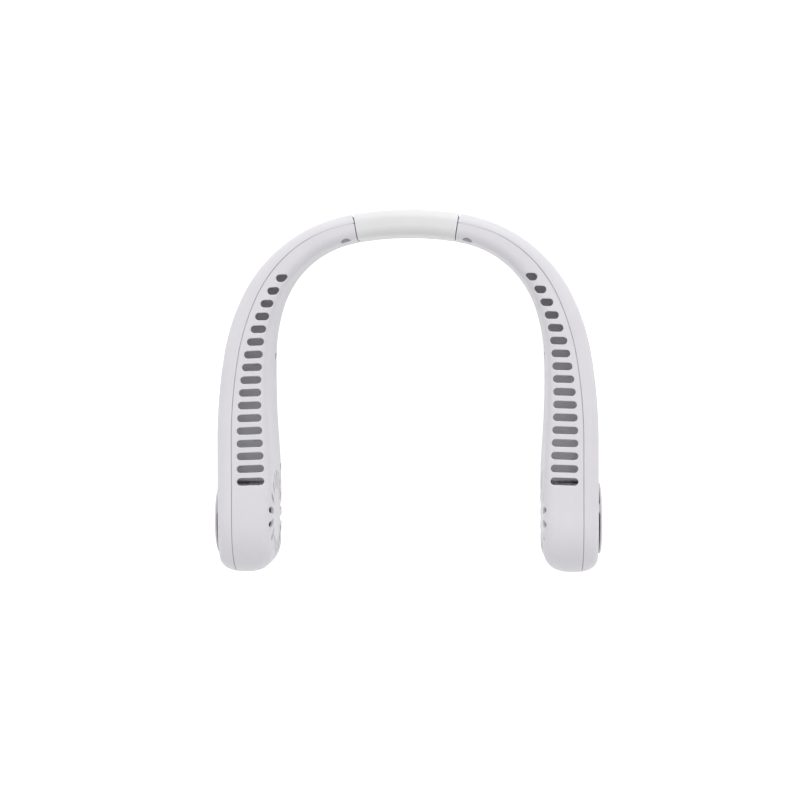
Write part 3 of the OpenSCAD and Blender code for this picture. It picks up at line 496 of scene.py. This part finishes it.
def vent_cutters():
    """Vent slots: round at the outer end, and cut along the arm's lean at the inner end."""
    bm = bmesh.new()
    h = VENT_H - VENT_TRIM
    for i in range(VENT_N):
        y = AXIS_Y + VENT_FIRST + i * VENT_PITCH
        inner, arm = crossing(y, lambda s: width(s) - mix(VENT_LAND_TOP, VENT_LAND_IN, widen(s) ** 3))
        outer, _ = crossing(y, lambda s: parting(s) + VENT_LAND_OUT)
        lean = 1 + arm.y
        inner.x -= VENT_SHIFT * ease((i - VENT_SHIFT_FROM) / VENT_SHIFT_OVER)
        outer.x -= VENT_H * lean
        rise = (outer.x - inner.x) / 2 * tan(radians(VENT_TILT))
        inner.y, outer.y = y + rise - VENT_TRIM / 2, y - rise - VENT_TRIM / 2
        along = (outer - inner).normalized()
        across = Vector((-along.y, along.x)) * h / 2
        slant = across + along * along.dot(arm) / across.dot(arm) * h ** 2 / 4
        corners = [inner - slant, outer - across, outer + across, inner + slant]
        radii = [h * VENT_ROUND] * 3 + [h * (VENT_ROUND - VENT_ROUND_LEAN * lean)]
        loft(bm, [[(p.x, p.y, top_z(p) - d) for p in rounded(corners, radii, o)]
                  for o, d in rim(VENT_RIM, 6) + [(0, WALL + ARM_CORNER / 2)]])
    return new_object("vent_cutters", fixed(bm))


def side_sink(s, z, inner):
    """How far the arm's side lies behind its flat, at a length and height near the tip."""
    n0, n1, z0, z1, r = extent(s)
    return (width(s) - n1 if inner else n0) + corner_fall(z, z0, z1, r)


def intake_cutters(inner):
    """Radial slots round the turbine's axis, cut with a rounded rim that follows the arm's side."""
    bm = bmesh.new()
    place = in_arm(AXIS_S, AXIS_Z)
    n, r1, r2, w, first, back, deep = (
        (GRILLE_N, GRILLE_R1, GRILLE_R2, GRILLE_W, 0, GRILLE_BACK, GRILLE_DEEP) if inner
        else (INTAKE_N, INTAKE_R1, INTAKE_R2, INTAKE_W, 0.5, 0, WALL + 1.5 * OVER))
    mid, half = (r1 + r2) / 2, (r2 - r1 - w) / 2
    for i in range(n):
        a = 2 * pi * (i + first) / n
        loops = []
        for o, d in rim(INTAKE_RIM) + [(0, deep)]:
            loop = []
            for q in stadium(half, w / 2 + o, 8):
                u, v = mid + q.x, q.y
                along, up = u * cos(a) - v * sin(a) - back, u * sin(a) + v * cos(a)
                sunk = d if d == deep else d + side_sink(AXIS_S + along, AXIS_Z + up, inner)
                loop.append(place(along, up, ARM_W - sunk if inner else sunk))
            loops.append(loop)
        loft(bm, loops)
    return new_object("intake_cutters", fixed(bm))


def rod(bm, place, profile, steps=32):
    """A solid of revolution on a local axis: profile is a list of (radius, depth)."""
    loft(bm, [[place(r * cos(2 * pi * j / steps), r * sin(2 * pi * j / steps), d) for j in range(steps)]
              for r, d in profile])


def corner_rod(bm, profile, steps=48):
    """A solid on the bracket screw's axis, which leans up from the middle of the arm's round corner.

    profile is a list of (radius, depth, whether that circle follows the corner's round)."""
    place, middle = in_arm(BRACKET_SCREW_S, FAN_H - BAND_CORNER), width(BRACKET_SCREW_S) - BAND_CORNER
    c, s = cos(radians(BRACKET_LEAN)), sin(radians(BRACKET_LEAN))
    loops = []
    for radius, depth, follows in profile:
        loop = []
        for j in range(steps):
            along, up = radius * cos(2 * pi * j / steps), radius * sin(2 * pi * j / steps)
            out = (sqrt(BAND_CORNER ** 2 - up * up) if follows else BAND_CORNER) - depth
            loop.append(place(along, up * c + out * s, middle + out * c - up * s))
        loops.append(loop)
    loft(bm, loops)


def sink_cutters():
    """The screws' sinks on the arm's inner side, with a rounded rim."""
    bm = bmesh.new()
    hole_r, deep = SCREW_R + FIT, PLUG_T + SINK_T
    for s, z in SHELL_SCREWS:
        w = width(s)
        rod(bm, in_arm(s, z), [(PLUG_R + o, w - d) for o, d in rim(SINK_RIM)] + [
            (PLUG_R, w - deep), (hole_r, w - deep), (hole_r, parting(s))])
    corner_rod(bm, [(BRACKET_PLUG_R + o, d, d > -OVER) for o, d in rim(BRACKET_SINK_RIM)] + [
        (BRACKET_PLUG_R, deep, False), (hole_r, deep, False), (hole_r, BAND_CORNER, False)])
    return new_object("sink_cutters", fixed(bm))


def sink_bosses():
    """The cups round the screws' sinks and the bosses below them, inside the vent shell."""
    bm = bmesh.new()
    deep = PLUG_T + SINK_T + SINK_FLOOR
    for s, z in SHELL_SCREWS:
        w, r = width(s), PLUG_R + SINK_WALL
        rod(bm, in_arm(s, z), [(r, w - WALL / 2), (r, w - deep), (BOSS_R, w - deep),
                               (BOSS_R, parting(s) + PART_GAP / 2)])
    r = BRACKET_PLUG_R + SINK_WALL
    corner_rod(bm, [(r, WALL / 2, True), (r, deep + SEAT_DEEP, False)])
    return new_object("sink_bosses", fixed(bm))


def outer_bosses():
    """The bosses of the outer shell that the screws turn into."""
    bm = bmesh.new()
    for s, z in SHELL_SCREWS:
        rod(bm, in_arm(s, z), [(BOSS_R, WALL / 2), (BOSS_R, parting(s) - PART_GAP / 2)])
    return new_object("outer_bosses", fixed(bm))


def outer_hole_cutters():
    """Openings of the right arm's outer side, with rounded rims: power button, lights, charging port."""
    bm = bmesh.new()
    holes = [(BUTTON_BACK, BUTTON_Z, BUTTON_R + FIT, BUTTON_RIM)]
    holes += [(LIGHT_BACK - i * LIGHT_PITCH, BUTTON_Z, LIGHT_R + FIT, LIGHT_RIM) for i in range(LIGHT_N)]
    for back, z, r, round_r in holes:
        rod(bm, in_arm(AXIS_S - back, z), [(r + o, d) for o, d in rim(round_r) + [(0, WALL + OVER)]], 40)
    place = in_arm(AXIS_S - USB_BACK, USB_Z)
    loft(bm, [[place(q.x, q.y, d) for q in stadium((USB_W - USB_H) / 2, USB_H / 2 + USB_FIT + o, 16)]
              for o, d in rim(USB_RIM) + [(0, WALL + OVER)]])
    return new_object("outer_hole_cutters", fixed(bm))


def mirrored(obj, name):
    """A copy of a piece of the right arm for the left one."""
    mesh = obj.data.copy()
    for v in mesh.vertices:
        v.co.x = -v.co.x
    mesh.flip_normals()
    mesh.name = name
    out = bpy.data.objects.new(name, mesh)
    bpy.context.scene.collection.objects.link(out)
    return out


def build_shells():
    """The four shells, each under the name of the node that it replaces."""
    vent = arm_shell("right_vent_case", False)
    boolean(vent, sink_bosses(), "UNION")
    for cutter in (vent_cutters(), intake_cutters(True), sink_cutters()):
        boolean(vent, cutter, "DIFFERENCE")
    outer = arm_shell("right_outer_case", True)
    boolean(outer, outer_bosses(), "UNION")
    boolean(outer, parting_lip(), "UNION")
    boolean(outer, intake_cutters(False), "DIFFERENCE")
    left_vent, left_outer = mirrored(vent, "left_vent_case"), mirrored(outer, "left_outer_case")
    boolean(outer, outer_hole_cutters(), "DIFFERENCE")
    return {"right_vent_shell": vent, "left_vent_shell": left_vent,
            "right_outer_shell": outer, "left_outer_shell": left_outer}


def band_sleeve():
    """The sleeve over the band, its two ends rounded."""
    bm = bmesh.new()
    half = radians(BAND_TURN_END) * RADII[0]
    places = [-half + e for e in EDGE_STEPS]
    places += [mix(EDGE_L - half, half - EDGE_L, j / SLEEVE_STEPS) for j in range(SLEEVE_STEPS + 1)]
    places += [half - e for e in reversed(EDGE_STEPS)]
    rows = []
    for place in places:
        dip, a = edge_dip(half - abs(place)), place / RADII[0]
        rows.append([])
        for n, z in section(dip, BAND_W - dip, FAN_H - BAND_H + dip, FAN_H - dip, BAND_CORNER - dip):
            r = RADII[0] - n
            rows[-1].append(bm.verts.new(Vector((r * sin(a), TOP_Y - RADII[0] + r * cos(a), z)) * MM))
    bridge(bm, rows)
    obj = new_object("band_case", outwards(fixed(bm)))
    mod = obj.modifiers.new("wall", "SOLIDIFY")
    mod.thickness, mod.offset, mod.use_even_offset = SLEEVE_WALL * MM, -1, True
    return applied(obj)


def intake_cover():
    """The outer cover: a thin dish with a soft rim, and the ribs that carry it."""
    place, bm = in_arm(AXIS_S, AXIS_Z), bmesh.new()
    face, back = -COVER_GAP - COVER_T, -COVER_GAP
    middle = (face + back) / 2 + COVER_RIM_BACK
    profile = [(COVER_R * k / 10, face + COVER_FALL * (k / 10) ** 4) for k in range(1, 10)]
    profile += [(COVER_R - COVER_RIM + COVER_RIM * cos(radians(a)),
                 middle + (COVER_RIM - COVER_RIM_BACK) * sin(radians(a))) for a in range(-80, 91, 17)]
    profile += [(COVER_R - 3, back), (1, back)]
    rod(bm, place, profile, 96)
    cover = new_object("right_cover", fixed(bm))
    ribs = bmesh.new()
    r0, r1, w, cut = COVER_RIB_R1, COVER_R - 1, COVER_RIB_W / 2, COVER_RIB_CUT
    outline = [(r0, -w), (r1 - cut, -w), (r1, -w + cut), (r1, w - cut), (r1 - cut, w), (r0, w)]
    for i in range(COVER_RIBS):
        a = radians(COVER_RIB_AT + 360 / COVER_RIBS * i)
        loft(ribs, [[place(u * cos(a) - v * sin(a), u * sin(a) + v * cos(a), d) for u, v in outline]
                    for d in (back - COVER_RIB_IN, 0)])
    return boolean(cover, new_object("ribs", fixed(ribs)), "UNION")


def plug_top(r, sunk, e):
    """(radius, depth) points of a plug's top: its edge, rounded by e, and a hollow."""
    return [(r, sunk + e), (r - 0.3 * e, sunk + 0.3 * e), (r - e, sunk),
            (r * 0.5, sunk + 0.8 * PLUG_HOLLOW), (r * 0.2, sunk + PLUG_HOLLOW)]


def plugs():
    """The plugs over the right arm's screws."""
    bm = bmesh.new()
    for s, z in SHELL_SCREWS:
        w, r = width(s), PLUG_R - FIT
        top = [(a, w - d) for a, d in plug_top(r, PLUG_SUNK, PLUG_EDGE)]
        rod(bm, in_arm(s, z), [(r, w - PLUG_T)] + top)
    r = BRACKET_PLUG_R - FIT
    top = [(a, d, True) for a, d in plug_top(r, BRACKET_PLUG_SUNK, BRACKET_PLUG_EDGE)]
    corner_rod(bm, [(r, PLUG_T + BRACKET_PLUG_IN, False)] + top)
    return new_object("right_plugs", fixed(bm))


def power_button():
    """The button with a dished top, the flange under the shell's wall and the stem."""
    bm = bmesh.new()
    r = BUTTON_R - FIT
    flange_r, flange_top, flange_end = r + FLANGE_MORE, WALL + FLANGE_DEEP, WALL + 1
    top = [(r * 0.15, 0.45), (r * 0.55, 0.36), (r * 0.8, 0.12), (r - 0.35, 0), (r - 0.1, 0.1), (r, 0.35)]
    below = [(r, flange_top), (flange_r, flange_top), (flange_r, flange_end), (STEM_R, flange_end),
             (STEM_R, STEM_END)]
    rod(bm, in_arm(AXIS_S - BUTTON_BACK, BUTTON_Z), top + below, 64)
    return new_object("button_cap", fixed(bm))


# ---- materials ----

# Noise scales per metre of the clouds in tint and roughness, the part of the noise's values that counts, and
# how far the roughness goes up and down
TINT_SCALE, ROUGH_SCALE, NOISE_SPAN, ROUGH_VARY = 45, 260, (0.3, 0.7), 0.05


def map_range(nodes, from_low, from_high, low, high):
    """A Map Range node with its four ends set."""
    node = nodes.new("ShaderNodeMapRange")
    for key, value in (("From Min", from_low), ("From Max", from_high), ("To Min", low), ("To Max", high)):
        node.inputs[key].default_value = value
    return node


def material(name, colour, rough, metal=0.0, grain=0.0, grain_scale=1500, vary=0.02, coat=0.0, sub=0.0):
    """A surface with a cloudy tint and roughness, and a fine grain of grain millimetres."""
    mat = bpy.data.materials.new(name)
    mat.use_nodes = True
    nodes, links = mat.node_tree.nodes, mat.node_tree.links
    bsdf = nodes["Principled BSDF"]
    for key, value in (("Metallic", metal), ("Coat Weight", coat), ("Subsurface Weight", sub),
                       ("Subsurface Scale", MM)):
        bsdf.inputs[key].default_value = value
    coord = nodes.new("ShaderNodeTexCoord")

    def noise(scale, detail):
        node = nodes.new("ShaderNodeTexNoise")
        node.inputs["Scale"].default_value, node.inputs["Detail"].default_value = scale, detail
        links.new(coord.outputs["Object"], node.inputs["Vector"])
        return node.outputs["Fac"]

    def ramp(fac, low, high):
        share = map_range(nodes, *NOISE_SPAN, low, high)
        links.new(fac, share.inputs["Value"])
        return share.outputs["Result"]

    tint = nodes.new("ShaderNodeMix")
    tint.data_type = "RGBA"
    tint.inputs["A"].default_value = (*[c * (1 - vary) for c in colour], 1)
    tint.inputs["B"].default_value = (*[min(1, c * (1 + vary)) for c in colour], 1)
    links.new(ramp(noise(TINT_SCALE, 3), 0, 1), tint.inputs["Factor"])
    links.new(tint.outputs["Result"], bsdf.inputs["Base Color"])
    links.new(ramp(noise(ROUGH_SCALE, 4), rough - ROUGH_VARY, rough + ROUGH_VARY), bsdf.inputs["Roughness"])
    if grain:
        bump = nodes.new("ShaderNodeBump")
        bump.inputs["Strength"].default_value = 1
        bump.inputs["Distance"].default_value = grain * MM
        links.new(noise(grain_scale, 2), bump.inputs["Height"])
        links.new(bump.outputs["Normal"], bsdf.inputs["Normal"])
    return mat


def srgb(*c):
    """A linear colour from 8-bit display values."""
    return tuple((v / 255 / 12.92) if v <= 10 else ((v / 255 + 0.055) / 1.055) ** 2.4 for v in c)


SHELL = dict(colour=srgb(222, 220, 225), grain=0.006, sub=0.05)
BRASS = dict(colour=srgb(205, 175, 110), rough=0.3, metal=1, grain=0.003, vary=0.05)
MATS = {name: material(name, **look) for name, look in {
    "band_plastic": dict(colour=srgb(226, 226, 227), rough=0.42, grain=0.004, sub=0.05),
    "shell_plastic": dict(SHELL, rough=0.45),
    "cover_plastic": dict(SHELL, rough=0.45),
    "core_plastic": dict(colour=srgb(196, 196, 200), rough=0.5, grain=0.008),
    "cable_jacket": dict(colour=srgb(40, 40, 42), rough=0.5, grain=0.01),
    "pin_steel": dict(colour=srgb(190, 190, 192), rough=0.25, metal=1, grain=0.002, vary=0.05),
    "washer_brass": BRASS,
    "guide_plastic": dict(colour=srgb(236, 235, 240), rough=0.5, grain=0.01, vary=0.03),
    "impeller_plastic": dict(colour=srgb(226, 225, 229), rough=0.45, grain=0.006, vary=0.03),
    "rotor_steel": dict(colour=srgb(150, 150, 154), rough=0.35, metal=1, grain=0.003, vary=0.05),
    "magnet": dict(colour=srgb(60, 60, 64), rough=0.6, grain=0.02, vary=0.08),
    "core_steel": dict(colour=srgb(110, 115, 122), rough=0.4, metal=0.6, grain=0.01, vary=0.06),
    "copper_wire": dict(colour=srgb(190, 110, 60), rough=0.32, metal=0.8, grain=0.05, grain_scale=3000,
                        vary=0.1, coat=0.3),
    "tube_brass": BRASS,
    "bearing_steel": dict(colour=srgb(200, 200, 202), rough=0.2, metal=1, grain=0.001, vary=0.04),
    "circuit_board": dict(colour=srgb(30, 95, 60), rough=0.3, grain=0.02, grain_scale=900, vary=0.15,
                          coat=0.3),
    "screw_steel": dict(colour=srgb(185, 185, 188), rough=0.3, metal=1, grain=0.003, vary=0.06),
    "cell_wrap": dict(colour=srgb(60, 110, 170), rough=0.35, grain=0.01, vary=0.05, coat=0.2),
    "nickel": dict(colour=srgb(200, 197, 190), rough=0.3, metal=1, grain=0.003, vary=0.05),
    "plug_rubber": dict(colour=srgb(150, 150, 154), rough=0.6, grain=0.01, vary=0.04),
    "port_steel": dict(colour=srgb(190, 190, 193), rough=0.25, metal=1, grain=0.002, vary=0.04),
    "switch_plastic": dict(colour=srgb(45, 45, 48), rough=0.4, grain=0.01, vary=0.05),
    "button_plastic": dict(SHELL, rough=0.4),
    "light_pipe": dict(colour=srgb(225, 228, 232), rough=0.2, grain=0.002, sub=0.3),
}.items()}


def dress(obj, slot):
    """Gives a piece the look of a material slot."""
    obj.data.materials.clear()
    obj.data.materials.append(MATS[slot])


# Every CAD node gets the material of its slot, also those that a finer piece replaces.
for sub in frame["record"]["subparts"]:
    node = frame["nodes"][sub["node"]]
    node.data.materials.clear()
    node.data.materials.append(MATS[sub["material_slot"]])


# ---- the visible pieces ----

for node, piece in build_shells().items():
    dress(piece, "shell_plastic")
    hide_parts(node)
    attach(piece, node.split("_")[0] + "_arm")
sleeve = band_sleeve()
dress(sleeve, "band_plastic")
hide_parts("band_sleeve")
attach(sleeve, "neck_band")
for make, slot, node in ((intake_cover, "cover_plastic", "intake_cover"),
                         (plugs, "plug_rubber", "screw_plugs")):
    right = make()
    for piece, hand in ((right, "right"), (mirrored(right, right.name.replace("right", "left")), "left")):
        dress(piece, slot)
        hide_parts(f"{hand}_{node}")
        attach(piece, f"{hand}_arm")
cap = power_button()
dress(cap, "button_plastic")
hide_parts("power_button")
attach(cap, "button_body")


# ---- floor, light and camera ----

FLOOR_SIZE, FLOOR_GREY, FLOOR_GLOW = 6, 0.78, 0.6
# The sky's strength runs between these from the tips' side to the band's, times these from level to overhead
SKY, SKY_UP = (0.64, 0.84), (1.3, 0.88)
# Name, place, width and power of each lamp: both look at the origin
LAMPS = (("key", (0.12, 1.5, 1.1), 1.5, 11.5), ("fill", (0.3, -0.6, 1.8), 1.6, 3))
# In millimetres and degrees
CAMERA_AT, CAMERA_TO, CAMERA_ROLL = (35.2, 3.8, 866), (-3.3, -3.6, 51), -0.17
LENS, SENSOR = 72, 36


def maths(tree, operation, *values):
    """A Math node's result, from sockets or numbers."""
    node = tree.nodes.new("ShaderNodeMath")
    node.operation = operation
    for socket, value in zip(node.inputs, values):
        if isinstance(value, bpy.types.NodeSocket):
            tree.links.new(value, socket)
        else:
            socket.default_value = value
    return node.outputs[0]


def floor_material():
    """Pale and matt. To the camera and in gloss it glows, which makes the background white."""
    mat = bpy.data.materials.new("floor")
    mat.use_nodes = True
    tree = mat.node_tree
    bsdf = tree.nodes["Principled BSDF"]
    bsdf.inputs["Base Color"].default_value = (FLOOR_GREY, FLOOR_GREY, FLOOR_GREY, 1)
    bsdf.inputs["Roughness"].default_value = 0.9
    path = tree.nodes.new("ShaderNodeLightPath").outputs
    seen = maths(tree, "MAXIMUM", path["Is Camera Ray"], path["Is Glossy Ray"])
    seen = maths(tree, "MAXIMUM", seen, path["Is Transmission Ray"])
    glow = tree.nodes.new("ShaderNodeEmission")
    glow.inputs["Color"].default_value = (1, 1, 1, 1)
    tree.links.new(maths(tree, "MULTIPLY", seen, FLOOR_GLOW), glow.inputs["Strength"])
    add = tree.nodes.new("ShaderNodeAddShader")
    tree.links.new(bsdf.outputs[0], add.inputs[0])
    tree.links.new(glow.outputs[0], add.inputs[1])
    tree.links.new(add.outputs[0], tree.nodes["Material Output"].inputs["Surface"])
    return mat


def studio():
    """The sky, brighter behind the band than before the tips, and brighter low down than overhead."""
    world = bpy.data.worlds.new("studio")
    world.use_nodes = True
    tree = world.node_tree
    back = tree.nodes["Background"].inputs
    back["Color"].default_value = (1, 1, 1, 1)
    coord, split = (tree.nodes.new(n) for n in ("ShaderNodeTexCoord", "ShaderNodeSeparateXYZ"))
    tree.links.new(coord.outputs["Generated"], split.inputs[0])
    shares = []
    for axis, start, ends in (("Y", -1, SKY), ("Z", 0, SKY_UP)):
        share = map_range(tree.nodes, start, 1, *ends)
        tree.links.new(split.outputs[axis], share.inputs["Value"])
        shares.append(share.outputs["Result"])
    tree.links.new(maths(tree, "MULTIPLY", *shares), back["Strength"])
    return world


def lamp(name, place, size, power):
    """A square lamp that looks at the origin."""
    data = bpy.data.lights.new(name, "AREA")
    data.shape, data.size, data.energy = "SQUARE", size, power
    obj = bpy.data.objects.new(name, data)
    obj.location = place
    obj.rotation_euler = (-Vector(place)).to_track_quat("-Z", "Y").to_euler()
    bpy.context.scene.collection.objects.link(obj)


def view():
    """The camera, at the photograph's viewing angle."""
    obj = bpy.data.objects.new("camera", bpy.data.cameras.new("camera"))
    obj.data.lens, obj.data.sensor_width = LENS, SENSOR
    obj.location = Vector(CAMERA_AT) * MM
    back = (Vector(CAMERA_AT) - Vector(CAMERA_TO)).normalized()
    right = Vector((0, 1, 0)).cross(back).normalized()
    right.rotate(Quaternion(back, radians(CAMERA_ROLL)))
    obj.rotation_euler = Matrix((right, back.cross(right), back)).transposed().to_euler()
    bpy.context.scene.collection.objects.link(obj)
    return obj


bm = bmesh.new()
bmesh.ops.create_grid(bm, x_segments=1, y_segments=1, size=FLOOR_SIZE)
floor = new_object("floor", bm)
floor.data.materials.append(floor_material())
for name, place, size, power in LAMPS:
    lamp(name, place, size, power)
bpy.context.scene.world = studio()
bpy.context.scene.camera = view()
bpy.context.scene.view_settings.view_transform = "Standard"
